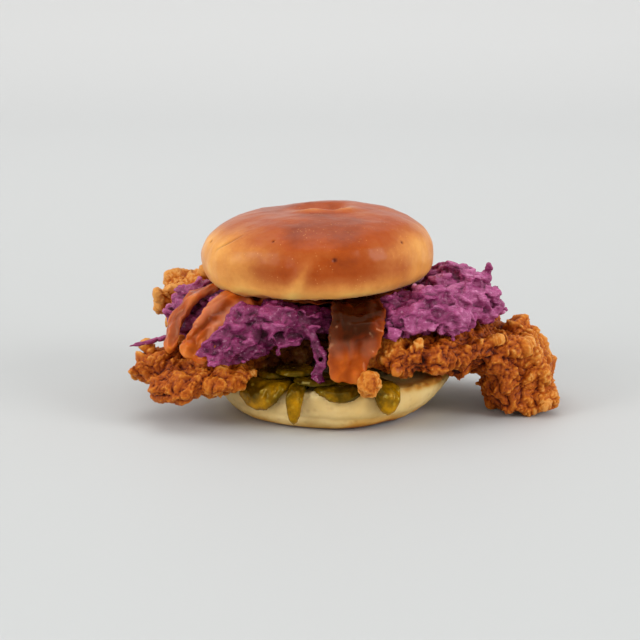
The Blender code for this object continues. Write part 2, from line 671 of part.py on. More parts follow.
def build():
    clear_scene()
    crust = material("brioche_crust", (0.58, 0.22, 0.05), 0.45)
    bread = material("bread_side", (0.66, 0.47, 0.22), 0.7)
    batter = material("fried_batter", (0.5, 0.17, 0.03), 0.6)
    cabbage = material("creamy_slaw", (0.4, 0.1, 0.26), 0.4)
    amber = material("amber_sauce", (0.42, 0.12, 0.02), 0.15)
    gherkin = material("pickle_flesh", (0.24, 0.2, 0.02), 0.2)

    base = object_of("bun_base", bun_base(), bread, smooth=True)
    lid = object_of("bun_top", bun_top(), crust, smooth=True)
    runs = cut(sauce("sauce", amber), [lid_room()])
    pickles = [object_of(f"pickle_{i + 1}", pickle_slice(*sizes), gherkin)
               for i, sizes in enumerate(PICKLES)]

    crumb = object_of("lone_crumb", lobe_shape(LONE_CRUMB, 2, 1.6, 9.0), batter)
    cut(crumb, [sauce_room(), *slices_room()])

    heap = cut(joined_lobes("slaw", SLAW_LUMPS, SLAW_RELIEF, SLAW_SEED, cabbage),
               [lid_room(), sauce_room(), chicken_room(LEFT_LOBES, LEFT_SEED),
                chicken_room(RIGHT_LOBES, RIGHT_SEED)])

    still = [tree_of(piece) for piece in (base, lid, runs, crumb, *pickles)]
    pieces = []
    for name, lobes, chunks, seed in (("chicken_left", LEFT_LOBES, LEFT_CHUNKS, LEFT_SEED),
                                      ("chicken_right", RIGHT_LOBES, RIGHT_CHUNKS, RIGHT_SEED)):
        crumbs = chunks + crumbs_on(lobes, 14, seed)
        piece = battered(name, lobes, crumbs, seed, batter, [*still, tree_of(heap)])
        room = [floor_room(), base_room(), sauce_room(), *slices_room(), room_of(heap)]
        pieces.append(cut(piece, room + [room_of(other) for other in pieces]))

    around = still + [tree_of(piece) for piece in pieces]
    paths = shreds_on(SLAW_LUMPS, 11, 13) + [(stray_path(*stray), 0.4) for stray in STRAYS]
    shreds = [object_of("shred", shred_shape(path, twist)) for path, twist in paths
              if is_clear(shred_shape(path, twist, CLEARANCE), around)]
    join(heap, shreds)


build()
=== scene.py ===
"""Looks for the fried chicken sandwich: every CAD node is restated as a fine surface in its place.

Coordinates below are millimetres in the frame of the part: +X the diner's right, -Y towards the
diner, +Z up, origin at the centre of the bun's underside.
"""

import math
import random

import bmesh
import bpy
import numpy as np
from mathutils import Matrix, Vector, noise
from mathutils.bvhtree import BVHTree
from mathutils.kdtree import KDTree


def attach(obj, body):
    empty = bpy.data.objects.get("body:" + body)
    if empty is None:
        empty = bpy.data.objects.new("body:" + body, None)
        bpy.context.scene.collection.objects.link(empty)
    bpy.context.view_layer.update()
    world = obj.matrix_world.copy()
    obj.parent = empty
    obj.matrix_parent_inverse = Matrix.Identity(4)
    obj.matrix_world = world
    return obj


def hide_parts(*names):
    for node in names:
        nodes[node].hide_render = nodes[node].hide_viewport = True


MM = 0.001
NOISE_SEED = 4  # without one, Blender starts its noise vectors from the clock

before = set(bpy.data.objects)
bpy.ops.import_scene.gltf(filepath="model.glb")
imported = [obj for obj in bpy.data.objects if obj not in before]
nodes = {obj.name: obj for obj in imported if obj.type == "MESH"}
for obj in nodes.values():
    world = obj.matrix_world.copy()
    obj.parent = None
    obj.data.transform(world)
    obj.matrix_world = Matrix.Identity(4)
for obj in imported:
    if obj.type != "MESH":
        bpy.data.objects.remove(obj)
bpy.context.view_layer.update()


# Camera, floor and light

AIM = Vector((-7.5, 0.0, 39.5)) * MM
CAMERA_DISTANCE = 0.79  # metres
CAMERA_ELEVATION = math.radians(13)
LENS, SENSOR = 95, 36  # millimetres
CLIP = (0.05, 20)  # metres


def make_camera():
    camera = bpy.data.objects.new("camera", bpy.data.cameras.new("camera"))
    bpy.context.scene.collection.objects.link(camera)
    camera.data.lens = LENS
    camera.data.sensor_width = SENSOR
    camera.data.clip_start, camera.data.clip_end = CLIP
    back = Vector((0, -math.cos(CAMERA_ELEVATION), math.sin(CAMERA_ELEVATION)))
    camera.location = AIM + back * CAMERA_DISTANCE
    camera.rotation_mode = "QUATERNION"
    camera.rotation_quaternion = (-back).to_track_quat("-Z", "Y")
    bpy.context.scene.camera = camera


def area_light(name, place, target, size, power, colour):
    lamp = bpy.data.lights.new(name, "AREA")
    lamp.shape = "RECTANGLE"
    lamp.size, lamp.size_y = size
    lamp.energy = power
    lamp.color = colour
    made = bpy.data.objects.new(name, lamp)
    made.location = place
    made.rotation_mode = "QUATERNION"
    made.rotation_quaternion = (Vector(target) - Vector(place)).to_track_quat("-Z", "Y")
    bpy.context.scene.collection.objects.link(made)


FLOOR_TONE = (0.535, 0.55, 0.549)
BACKDROP_TONE = (0.69, 0.706, 0.711)
FLOOR_FADE = (0.2, 1.6)  # where the floor's tone turns into the backdrop's, metres behind the bun
FLOOR_REACH = 4.0  # metres to each side
FLAT_ROWS = (-3.0, -1.0, 0.6, 1.2)  # how far back each row of the flat part lies
CURVE_RADIUS, CURVE_STEPS, WALL_TOP = 1.2, 15, 4.0
ROOM_TONES = ((0.68, 0.61, 0.555), (0.85, 0.865, 0.88))  # behind the photographer, and elsewhere
ROOM_FADE = (-0.95, -0.1)
# Each lamp's place, target and size in metres, its power in watts and its colour
LAMPS = {"top": ((-0.2, 0.4, 1.65), (0, 0, 0.02), (1.4, 1.2), 8.6, (1.0, 0.99, 0.97)),
         "left": ((-2.2, -1.15, 1.2), (0, 0, 0.04), (1.2, 1.4), 28.0, (1.0, 0.99, 0.98)),
         "right": ((2.2, -1.15, 1.15), (0, 0, 0.04), (1.2, 1.2), 31.0, (1.0, 0.99, 0.98))}


def tone_along_y(tree, where, fade, tones):
    """A colour that turns from the first tone into the second along Y, over the fade."""
    split = tree.nodes.new("ShaderNodeSeparateXYZ")
    tree.links.new(where, split.inputs[0])
    part = tree.nodes.new("ShaderNodeMapRange")
    part.inputs["From Min"].default_value, part.inputs["From Max"].default_value = fade
    tree.links.new(split.outputs["Y"], part.inputs["Value"])
    mix = tree.nodes.new("ShaderNodeMix")
    mix.data_type = "RGBA"
    mix.inputs[6].default_value, mix.inputs[7].default_value = ((*tone, 1) for tone in tones)
    tree.links.new(part.outputs[0], mix.inputs[0])
    return mix.outputs[2]


def make_floor():
    """A seamless sheet: flat under the object, then curving up behind it."""
    shape = bmesh.new()
    profile = [(y, 0.0) for y in FLAT_ROWS]
    for step in range(1, CURVE_STEPS + 1):
        angle = math.radians(90 * step / CURVE_STEPS)
        profile.append((FLAT_ROWS[-1] + CURVE_RADIUS * math.sin(angle),
                        CURVE_RADIUS - CURVE_RADIUS * math.cos(angle)))
    profile.append((FLAT_ROWS[-1] + CURVE_RADIUS, WALL_TOP))
    rows = [[shape.verts.new((x, y, z)) for x in (-FLOOR_REACH, FLOOR_REACH)] for y, z in profile]
    for (a, b), (c, d) in zip(rows, rows[1:]):
        shape.faces.new((a, b, d, c))
    mesh = bpy.data.meshes.new("floor")
    shape.to_mesh(mesh)
    shape.free()
    mesh.shade_smooth()
    floor = bpy.data.objects.new("floor", mesh)
    bpy.context.scene.collection.objects.link(floor)
    paint = bpy.data.materials.new("floor")
    paint.use_nodes = True
    tree = paint.node_tree
    shader = tree.nodes["Principled BSDF"]
    where = tree.nodes.new("ShaderNodeTexCoord").outputs["Object"]
    tone = tone_along_y(tree, where, FLOOR_FADE, (FLOOR_TONE, BACKDROP_TONE))
    tree.links.new(tone, shader.inputs["Base Color"])
    shader.inputs["Roughness"].default_value = 0.6
    shader.inputs["Specular IOR Level"].default_value = 0.25
    mesh.materials.append(paint)


def make_light():
    """A white room that is dim behind the photographer, with a soft box above and one each side."""
    world = bpy.data.worlds.new("studio")
    world.use_nodes = True
    tree = world.node_tree
    where = tree.nodes.new("ShaderNodeTexCoord").outputs["Generated"]
    tone = tone_along_y(tree, where, ROOM_FADE, ROOM_TONES)
    tree.links.new(tone, tree.nodes["Background"].inputs["Color"])
    bpy.context.scene.world = world
    for name, lamp in LAMPS.items():
        area_light(name, *lamp)


# Mesh helpers. Points are kept in millimetres in numpy while they are worked on.


def rows_of(items, name, width, kind):
    """One row of numbers for each of a mesh's items."""
    flat = np.empty(len(items) * width, kind)
    items.foreach_get(name, flat)
    return flat.reshape(-1, width)


def points_of(mesh):
    return rows_of(mesh.vertices, "co", 3, np.float32).astype(np.float64) / MM


def set_points(mesh, points):
    mesh.vertices.foreach_set("co", (points * MM).astype(np.float32).ravel())
    mesh.update()


def normals_of(mesh):
    return rows_of(mesh.vertex_normals, "vector", 3, np.float32).astype(np.float64)


def edges_of(mesh):
    return rows_of(mesh.edges, "vertices", 2, np.int32)


def raise_points(mesh, points, normals, lift):
    set_points(mesh, points + normals * lift[:, None])


def smoothed(values, edges, rounds, share=0.5):
    """Values, one row a vertex, averaged with their neighbours' a number of times."""
    count = len(values)
    values = values.reshape(count, -1).copy()
    ends = np.concatenate([edges[:, 0], edges[:, 1]])
    others = np.concatenate([edges[:, 1], edges[:, 0]])
    degree = np.maximum(1, np.bincount(ends, minlength=count))
    for _ in range(rounds):
        for column in range(values.shape[1]):
            mean = np.bincount(ends, values[others, column], count) / degree
            values[:, column] += share * (mean - values[:, column])
    return values


def object_from(name, mesh):
    made = bpy.data.objects.new(name, mesh)
    bpy.context.scene.collection.objects.link(made)
    return made


def mesh_copy(name, node, shift=0.0):
    """A copy of a node's mesh, with its points merged and moved along their normals."""
    shape = bmesh.new()
    shape.from_mesh(nodes[node].data)
    bmesh.ops.remove_doubles(shape, verts=shape.verts, dist=0.00001)
    bmesh.ops.recalc_face_normals(shape, faces=shape.faces)
    shape.normal_update()
    if shift:
        for vertex in shape.verts:
            vertex.co += vertex.normal * shift * MM
    mesh = bpy.data.meshes.new(name)
    shape.to_mesh(mesh)
    shape.free()
    mesh.materials.clear()
    return mesh


def apply_modifiers(target):
    bpy.context.view_layer.update()
    graph = bpy.context.evaluated_depsgraph_get()
    mesh = bpy.data.meshes.new_from_object(target.evaluated_get(graph))
    target.modifiers.clear()
    target.data = mesh
    return mesh


def remesh(target, cell):
    step = target.modifiers.new("remesh", "REMESH")
    step.mode = "VOXEL"
    step.voxel_size = cell * MM
    step.use_smooth_shade = True
    return apply_modifiers(target)


def add_float(mesh, name, values):
    layer = mesh.attributes.new(name, "FLOAT", "POINT")
    layer.data.foreach_set("value", np.asarray(values, np.float32).ravel())


def bell(away, wide, power=2):
    """1 in the middle of a feature, falling smoothly over its half width."""
    return np.exp(-(away / wide) ** power)


def sampled(function, points, pitch, seed):
    """What a function of mathutils.noise gives at each point. Each seed is a place of its own."""
    offset = Vector((seed * 1.7, seed * 0.3, seed * 2.1))
    return [function(Vector(p) + offset) for p in points / pitch]


def field(points, pitch, seed):
    return np.array(sampled(noise.noise, points, pitch, seed))


def field3(points, pitch, seed):
    return np.array(sampled(noise.noise_vector, points, pitch, seed))


def tree_of(node):
    mesh = nodes[node].data
    return BVHTree.FromPolygons([v.co / MM for v in mesh.vertices],
                                [list(p.vertices) for p in mesh.polygons])


def inside(point, tree):
    up = Vector((0.013, 0.007, 1.0)).normalized()
    crossings = 0
    hit = tree.ray_cast(point, up)[0]
    while hit:
        crossings += 1
        hit = tree.ray_cast(hit + up * 0.001, up)[0]
    return crossings % 2 == 1


def scatter(mesh, count, seed, keep):
    """Points spread evenly by area over a mesh's faces, in millimetres, with their normals."""
    draw = random.Random(seed)
    mesh.calc_loop_triangles()
    triangles = [tuple(mesh.vertices[i].co / MM for i in t.vertices) for t in mesh.loop_triangles]
    areas = np.array([((b - a).cross(c - a)).length for a, b, c in triangles])
    ends = np.cumsum(areas)
    found = []
    for _ in range(count * 8):
        if len(found) == count:
            break
        chosen = int(np.searchsorted(ends, draw.random() * ends[-1]))
        a, b, c = triangles[min(len(triangles) - 1, chosen)]
        u, v = draw.random(), draw.random()
        if u + v > 1:
            u, v = 1 - u, 1 - v
        point = a + (b - a) * u + (c - a) * v
        normal = (b - a).cross(c - a).normalized()
        if keep(point, normal):
            found.append((point, normal))
    return found


def drop_scraps(made, share):
    """Removes what hangs loose: every separate part smaller than a share of the largest one."""
    shape = bmesh.new()
    shape.from_mesh(made.data)
    shape.verts.ensure_lookup_table()
    seen = np.zeros(len(shape.verts), bool)
    parts = []
    for start in shape.verts:
        if seen[start.index]:
            continue
        seen[start.index] = True
        part, waiting = [], [start]
        while waiting:
            vertex = waiting.pop()
            part.append(vertex)
            for edge in vertex.link_edges:
                other = edge.other_vert(vertex)
                if not seen[other.index]:
                    seen[other.index] = True
                    waiting.append(other)
        parts.append(part)
    largest = max(len(part) for part in parts)
    loose = [vertex for part in parts if len(part) < share * largest for vertex in part]
    bmesh.ops.delete(shape, geom=loose, context="VERTS")
    shape.to_mesh(made.data)
    shape.free()
    made.data.update()


def finish_piece(made, node_names, material):
    made.data.materials.clear()
    made.data.materials.append(material)
    made.data.shade_smooth()
    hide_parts(*node_names)
    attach(made, "root")


# Materials


class Nodes:
    """Short calls that build one material's node tree."""

    def __init__(self, name):
        self.material = bpy.data.materials.new(name)
        self.material.use_nodes = True
        self.tree = self.material.node_tree
        self.shader = self.tree.nodes["Principled BSDF"]
        self.where = self.tree.nodes.new("ShaderNodeTexCoord").outputs["Object"]

    def link(self, value, socket):
        if isinstance(value, bpy.types.NodeSocket):
            self.tree.links.new(value, socket)
        else:
            socket.default_value = value

    def make(self, kind, output=0, settings=None, **inputs):
        """A new node's output. Its inputs are given by name, or by number as i0, i1 and so on."""
        node = self.tree.nodes.new(kind)
        for key, value in (settings or {}).items():
            setattr(node, key, value)
        for key, value in inputs.items():
            self.link(value, node.inputs[int(key[1:]) if key[0] == "i" and key[1:].isdigit()
                                         else key])
        return node.outputs[output]

    def attribute(self, name):
        return self.make("ShaderNodeAttribute", 2, {"attribute_name": name})

    def noise(self, scale, detail=4.0, roughness=0.55, distortion=0.0):
        return self.make("ShaderNodeTexNoise", 0, Vector=self.where, Scale=scale, Detail=detail,
                         Roughness=roughness, Distortion=distortion)

    def cells(self, scale):
        return self.make("ShaderNodeTexVoronoi", 0, Vector=self.where, Scale=scale)

    def math(self, operation, a, b=0.0, c=0.0):
        return self.make("ShaderNodeMath", 0, {"operation": operation}, i0=a, i1=b, i2=c)

    def vary(self, level, texture, share):
        """The level, moved up and down with a texture whose middle is 0.5."""
        return self.math("ADD", level,
                         self.math("MULTIPLY", self.math("SUBTRACT", texture, 0.5), share))

    def ramp(self, value, stops):
        node = self.tree.nodes.new("ShaderNodeValToRGB")
        band = node.color_ramp
        while len(band.elements) < len(stops):
            band.elements.new(0.5)
        for element, (place, colour) in zip(band.elements, stops):
            element.position = place
            element.color = (*colour, 1)
        self.link(value, node.inputs[0])
        return node.outputs[0]

    def grey(self, value, low, high):
        """The value stretched so that low becomes 0 and high becomes 1."""
        return self.make("ShaderNodeMapRange", 0, {"clamp": True}, i0=value, i1=low, i2=high)

    def mix(self, factor, a, b):
        node = self.tree.nodes.new("ShaderNodeMix")
        node.data_type = "RGBA"
        self.link(factor, node.inputs[0])
        self.link(a if isinstance(a, bpy.types.NodeSocket) else (*a, 1), node.inputs[6])
        self.link(b if isinstance(b, bpy.types.NodeSocket) else (*b, 1), node.inputs[7])
        return node.outputs[2]

    def bump(self, height, strength, distance):
        node = self.tree.nodes.new("ShaderNodeBump")
        node.inputs["Strength"].default_value = strength
        node.inputs["Distance"].default_value = distance
        self.link(height, node.inputs["Height"])
        return node.outputs[0]

    def set(self, **values):
        for key, value in values.items():
            self.link(value, self.shader.inputs[key.replace("_", " ")])
        return self.material


def srgb(r, g, b):
    """A linear colour from sRGB values of 0 to 255."""
    return tuple((v / 12.92 if v <= 0.04045 else ((v + 0.055) / 1.055) ** 2.4)
                 for v in (r / 255, g / 255, b / 255))


def crust_material():
    """Glazed brioche: bake runs from 0, pale and soft, to 1, dark brown; on the lid it also holds
    painted light: lighter sides, painted shade in the dimple, a painted highlight on its crescent.
    """
    n = Nodes("brioche_crust")
    bake = n.attribute("bake")
    mottle = n.noise(70.0, 6.0, 0.62)
    fine = n.noise(420.0, 4.0, 0.6)
    level = n.vary(n.vary(bake, mottle, 0.34), fine, 0.14)
    colour = n.ramp(level, [(0.0, srgb(240, 196, 106)), (0.2, srgb(232, 164, 82)),
                            (0.4, srgb(206, 130, 60)), (0.58, srgb(178, 94, 38)),
                            (0.76, srgb(164, 70, 8)), (1.0, srgb(116, 40, 4))])
    specks = n.grey(n.cells(560.0), 0.2, 0.08)
    lit = n.math("MULTIPLY", specks, n.grey(n.noise(95.0, 2.0), 0.44, 0.58))
    colour = n.mix(n.math("MULTIPLY", lit, 0.4), colour, srgb(236, 172, 100))
    # Painted shade in the lid's pits and along its crease
    colour = n.mix(n.math("MULTIPLY", n.attribute("pit"), 0.85), colour, srgb(84, 24, 6))
    height = n.math("ADD", n.math("MULTIPLY", fine, 0.5), n.noise(1500.0, 3.0, 0.6))
    blister = n.math("MULTIPLY", lit, 0.8)
    return n.set(Base_Color=colour, Roughness=0.5, Specular_IOR_Level=0.05, Coat_Weight=0.5,
                 Coat_IOR=1.34, Coat_Roughness=0.28, Sheen_Weight=0.07, Sheen_Roughness=0.4,
                 Subsurface_Weight=0.06,
                 Subsurface_Radius=(0.004, 0.0016, 0.0006), Subsurface_Scale=1.0,
                 Normal=n.bump(n.math("ADD", height, blister), 0.16, 0.0004))


def bread_material():
    """The pale side of the base: bake darkens it towards its bottom edge and its torn lip, and
    paints shade into the fold line under the lip.
    """
    n = Nodes("bread_side")
    bake = n.attribute("bake")
    mottle = n.noise(75.0, 6.0, 0.65)
    level = n.vary(bake, mottle, 0.4)
    colour = n.ramp(level, [(0.0, srgb(232, 206, 146)), (0.3, srgb(216, 180, 108)),
                            (0.55, srgb(200, 142, 54)), (0.8, srgb(166, 94, 24)),
                            (1.0, srgb(120, 58, 18))])
    streak = n.make("ShaderNodeTexNoise", 0, Scale=1.0, Detail=5.0, Roughness=0.6,
                    Vector=n.make("ShaderNodeMapping", 0, Vector=n.where, Scale=(90, 90, 420)))
    pores = n.grey(n.cells(260.0), 0.34, 0.08)
    height = n.math("ADD", streak, n.math("MULTIPLY", pores, -0.6))
    return n.set(Base_Color=n.mix(n.math("MULTIPLY", pores, 0.16), colour, srgb(150, 106, 56)),
                 Roughness=0.75, Specular_IOR_Level=0.25, Subsurface_Weight=0.15,
                 Subsurface_Radius=(0.005, 0.003, 0.0015), Subsurface_Scale=1.0,
                 Normal=n.bump(height, 0.35, 0.0008))


def batter_material():
    """Fried batter: rise is 0 in the crevices and 1 on the crests, painting shade into the crevices
    and highlights onto the crests and lit lobes; each nugget has its tint.
    """
    n = Nodes("fried_batter")
    rise, tint = n.attribute("rise"), n.attribute("tint")
    patch = n.noise(48.0, 4.0, 0.6)
    grain = n.noise(620.0, 5.0, 0.65)
    level = n.vary(n.vary(n.vary(rise, patch, 0.4), tint, 0.26), grain, 0.3)
    colour = n.ramp(level, [(0.0, srgb(46, 9, 1)), (0.2, srgb(104, 33, 3)),
                            (0.38, srgb(152, 66, 9)), (0.62, srgb(185, 92, 19)),
                            (0.86, srgb(214, 128, 40)), (1.0, srgb(230, 160, 80))])
    flour = n.math("MULTIPLY", n.grey(n.cells(640.0), 0.3, 0.1), n.grey(rise, 0.35, 0.8))
    colour = n.mix(n.math("MULTIPLY", flour, 0.2), colour, srgb(240, 182, 104))
    char = n.math("MULTIPLY", n.grey(n.noise(240.0, 3.0), 0.64, 0.74), 0.5)
    colour = n.mix(char, colour, srgb(84, 24, 4))
    # Painted shade where the chicken lies under the bun
    colour = n.mix(n.math("MULTIPLY", n.attribute("soaked"), 0.75), colour, srgb(48, 20, 4))
    height = n.math("ADD", grain, n.math("MULTIPLY", n.noise(1700.0, 3.0, 0.6), 0.6))
    return n.set(Base_Color=colour, Roughness=n.grey(grain, -0.5, 1.9), Specular_IOR_Level=0.1,
                 Coat_Weight=0.16, Coat_IOR=1.35, Coat_Roughness=0.2, Subsurface_Weight=0.05,
                 Subsurface_Radius=(0.003, 0.0012, 0.0005), Subsurface_Scale=1.0,
                 Normal=n.bump(height, 0.8, 0.001))


def slaw_material():
    """Cabbage in dressing: tone is a shred's own lightness with painted light and shade laid on it,
    deep is painted shade in the gaps between shreds.
    """
    n = Nodes("creamy_slaw")
    tone, deep = n.attribute("tone"), n.attribute("deep")
    patch = n.noise(110.0, 4.0, 0.6)
    streaks = n.make("ShaderNodeTexNoise", 0, Scale=1.0, Detail=4.0, Roughness=0.6, Distortion=1.2,
                     Vector=n.make("ShaderNodeMapping", 0, Vector=n.where, Scale=(330, 260, 900),
                                   Rotation=(0.4, 0.5, 0.0)))
    level = n.vary(n.vary(tone, patch, 0.5), streaks, 0.9)
    colour = n.ramp(level, [(0.0, srgb(96, 18, 62)), (0.28, srgb(134, 46, 94)),
                            (0.55, srgb(168, 78, 128)), (0.78, srgb(200, 118, 162)),
                            (1.0, srgb(230, 172, 202))])
    # Painted shade in the gaps between shreds
    colour = n.mix(deep, colour, srgb(38, 4, 15))
    droplets = n.math("MULTIPLY", n.grey(n.noise(600.0, 3.0), 0.6, 0.7), 0.3)
    colour = n.mix(droplets, colour, srgb(224, 164, 196))
    height = n.math("ADD", n.noise(420.0, 4.0, 0.55), n.math("MULTIPLY", streaks, 1.5))
    return n.set(Base_Color=colour, Roughness=n.math("ADD", n.math("MULTIPLY", deep, 0.6), 0.26),
                 Specular_IOR_Level=0.3, Subsurface_Weight=0.12,
                 Subsurface_Radius=(0.003, 0.0012, 0.002), Subsurface_Scale=1.0,
                 Normal=n.bump(height, 0.6, 0.0006))


def sauce_material():
    """Amber sauce: thick is 0 where light comes through and holds painted shade under the lid; veil
    is 1 where a salmon reflection is painted on.
    """
    n = Nodes("amber_sauce")
    thick = n.attribute("thick")
    cloud = n.noise(70.0, 5.0, 0.6, 0.6)
    level = n.vary(thick, cloud, 0.55)
    colour = n.ramp(level, [(0.0, srgb(222, 132, 50)), (0.3, srgb(190, 92, 26)),
                            (0.55, srgb(150, 60, 8)), (0.78, srgb(100, 30, 3)),
                            (1.0, srgb(48, 11, 1))])
    # A painted salmon reflection
    colour = n.mix(n.attribute("veil"), colour, srgb(196, 124, 92))
    return n.set(Base_Color=colour, Roughness=0.1, IOR=1.42, Specular_IOR_Level=0.4,
                 Specular_Tint=(1.0, 0.55, 0.28, 1), Subsurface_Weight=0.35,
                 Subsurface_Radius=(0.006, 0.002, 0.0004), Subsurface_Scale=1.0,
                 Normal=n.bump(n.noise(110.0, 2.0), 0.06, 0.0008))


def pickle_material():
    """Pickle slices with painted shade towards the top, under the chicken, and painted light low
    down and at the right: rim is 1 at the skin and 0 in the flesh.
    """
    n = Nodes("pickle_flesh")
    rim = n.attribute("rim")
    across, height = (n.make("ShaderNodeSeparateXYZ", axis, i0=n.where) for axis in (0, 2))
    # Painted shade higher up and painted light at the right
    level = n.math("ADD", n.noise(120.0, 4.0, 0.6),
                   n.math("MULTIPLY", n.grey(height, 0.021, 0.009), 0.22))
    level = n.math("ADD", level, n.math("MULTIPLY", n.grey(across, 0.012, 0.03), 0.2))
    flesh = n.ramp(level, [(0.3, srgb(36, 23, 1)), (0.48, srgb(74, 51, 1)),
                           (0.64, srgb(122, 85, 3)), (0.82, srgb(178, 126, 8))])
    seeds = n.math("MULTIPLY", n.grey(n.cells(210.0), 0.22, 0.1), 0.3)
    flesh = n.mix(seeds, flesh, srgb(190, 160, 50))
    colour = n.mix(n.math("MULTIPLY", n.grey(rim, 0.5, 1.0), 0.5), flesh, srgb(84, 76, 4))
    return n.set(Base_Color=colour, Roughness=0.12, IOR=1.42, Specular_IOR_Level=0.45,
                 Specular_Tint=(1.0, 0.82, 0.22, 1), Subsurface_Weight=0.2,
                 Subsurface_Radius=(0.004, 0.003, 0.0004), Subsurface_Scale=1.0,
                 Normal=n.bump(n.noise(300.0, 4.0), 0.25, 0.0005))


# Bun

LID_CELL, BASE_CELL = 0.75, 1.0  # how fine each surface is
LID_MIDDLE = np.array([-8.8, 0.0])
LID_BOTTOM, LID_RADIUS = 58.6, 50
DIMPLE = (-6.0, -1.5)
DIMPLE_LEVEL = 84  # the lid's top, where the dimple and its crescent are
# The pale ridge at the lid's front: its angle at its height, and how it leans
RIDGE_ANGLE, RIDGE_HEIGHT, RIDGE_LEAN = -7.0, 71.0, 0.5
# Browned patches on the lid: angle from the front and height above the table, their half
# sizes, and how much darker they are
BROWNED = ((-19.0, 71.0, 12.0, 6.0, 0.12), (13.0, 71.5, 20.0, 6.5, 0.14),
           (14.0, 77.0, 12.0, 2.0, 0.12), (-9.0, 84.5, 10.0, 4.5, 0.14),
           (15.0, 84.5, 13.0, 5.0, 0.18), (150.0, 74.0, 40.0, 10.0, 0.3),
           (-125.0, 74.0, 36.0, 9.0, 0.3), (95.0, 72.0, 24.0, 8.0, 0.15))
# Small pits, painted dark with shade: angle, height and radius
PITS = ((8.5, 78.0, 0.8), (-24.0, 84.5, 0.4), (49.0, 82.5, 0.55), (-70.0, 80.0, 0.5),
        (100.0, 78.0, 0.6), (170.0, 80.0, 0.6), (-140.0, 77.0, 0.6))
# A fine crease at the lid's left, from one angle and height to another
CREASE = ((-45.0, 85.7), (-60.0, 77.0))
# The base's torn lip and the fold line under it: heights above the table
LIP_LEVEL, FOLD_LEVEL = 17.3, 6.5
# Where the lip is torn, pale at the front and browned at the right: angle and half width
TORN_FRONT, TORN_RIGHT = (-8.0, 9.0), (52.0, 16.0)


def around(points, middle=(0.0, 0.0)):
    """Each point's angle from the front, in degrees, and distance from an upright axis."""
    across, along = points[:, 0] - middle[0], points[:, 1] - middle[1]
    return np.degrees(np.arctan2(across, -along)), np.hypot(across, along)


def turn_from(angles, middle):
    return (angles - middle + 180.0) % 360.0 - 180.0


def make_lid():
    made = object_from("lid", mesh_copy("lid", "bun_top"))
    mesh = remesh(made, LID_CELL)
    points, edges = points_of(mesh), edges_of(mesh)
    points = smoothed(points, edges, 22)
    set_points(mesh, points)
    normals = normals_of(mesh)
    angles, radius = around(points, LID_MIDDLE)
    top = points[:, 2].max()

    # Broad unevenness and the wrinkles of the glaze, then the dimple and its crescent, which get
    # painted shade and a painted highlight below
    lift = 0.55 * field(points, 17.0, 3) + 0.22 * field(points, 6.0, 5)
    lift += 0.07 * field(points, 2.2, 8)
    across, along = points[:, 0] - DIMPLE[0], points[:, 1] - DIMPLE[1]
    dimple = np.exp(-((across / 11.0) ** 2 + (along / 6.5) ** 2) ** 1.5)
    crescent = bell(np.hypot(across, along * 1.3) - 12.5, 3.4)
    crescent *= np.clip(0.45 - along / 14.0, 0, 1) * (1 + 0.8 * field(points, 9.0, 41))
    lift += np.where(points[:, 2] > DIMPLE_LEVEL, -0.7 * dimple + 1.2 * crescent, 0.0)

    # The ridge at the front, the pits and the crease
    leaning = turn_from(angles, RIDGE_ANGLE - RIDGE_LEAN * (RIDGE_HEIGHT - points[:, 2]))
    ridge = bell(leaning, 3.5) * bell(points[:, 2] - 70.0, 7.0)
    lift += 0.9 * ridge
    # pit: painted shade in the pits, where the surface is pressed in
    pit = np.zeros(len(points))
    for angle, height, size in PITS:
        beside = turn_from(angles, angle) * math.pi / 180 * LID_RADIUS
        away = np.hypot(beside, points[:, 2] - height)
        pit = np.maximum(pit, np.clip(1.6 - away / size, 0, 1))
    lift -= 0.7 * pit
    (start_turn, start_height), (end_turn, end_height) = CREASE
    along = np.clip((points[:, 2] - end_height) / (start_height - end_height), 0, 1)
    beside = angles - (end_turn + (start_turn - end_turn) * along)
    crease = bell(beside, 1.0) * np.clip(4 * along * (1 - along), 0, 1)
    lift -= 0.5 * crease
    # Painted shade along the crease as well
    pit = np.maximum(pit, 0.5 * crease)
    under = np.clip((61.5 - points[:, 2]) / 2.5, 0, 1) * (radius < 51)
    lift += under * 0.5 * field(points, 3.0, 31)
    raise_points(mesh, points, normals, lift)

    # Browner over the front and the back than at the sides, and at the top; pale at the rim. The
    # lighter sides are partly a thinner crust and partly painted light, as if lit from the sides.
    height = (points[:, 2] - LID_BOTTOM) / (top - LID_BOTTOM)
    front = bell(turn_from(angles, 6.0), 44.0, 4)
    front += 0.7 * np.clip((np.abs(angles) - 80) / 50, 0, 1)
    bake = 0.24 + 0.4 * front * np.clip((height - 0.12) / 0.25, 0, 1)
    for angle, level, wide, tall, more in BROWNED:
        bake += more * bell(turn_from(angles, angle), wide) * bell(points[:, 2] - level, tall)
    bake += 0.3 * np.clip((height - 0.6) / 0.3, 0, 1) * (1 - front.clip(0, 1))
    bake += 0.2 * np.clip((height - 0.65) / 0.25, 0, 1)
    bake += 0.1 * field(points, 11.0, 9)
    rim = np.clip((0.16 - height) / 0.16, 0, 1)
    bake = bake * (1 - 0.75 * rim) - 0.3 * ridge
    # Painted shade in the dimple and a painted highlight along its crescent
    bake += (points[:, 2] > DIMPLE_LEVEL) * (0.2 * dimple - 0.3 * crescent)
    bake += 0.45 * under * np.clip(0.5 + field(points, 5.0, 17), 0, 1)
    add_float(mesh, "bake", np.clip(bake, 0, 1))
    add_float(mesh, "pit", pit)
    finish_piece(made, ["bun_top"], crust_material())


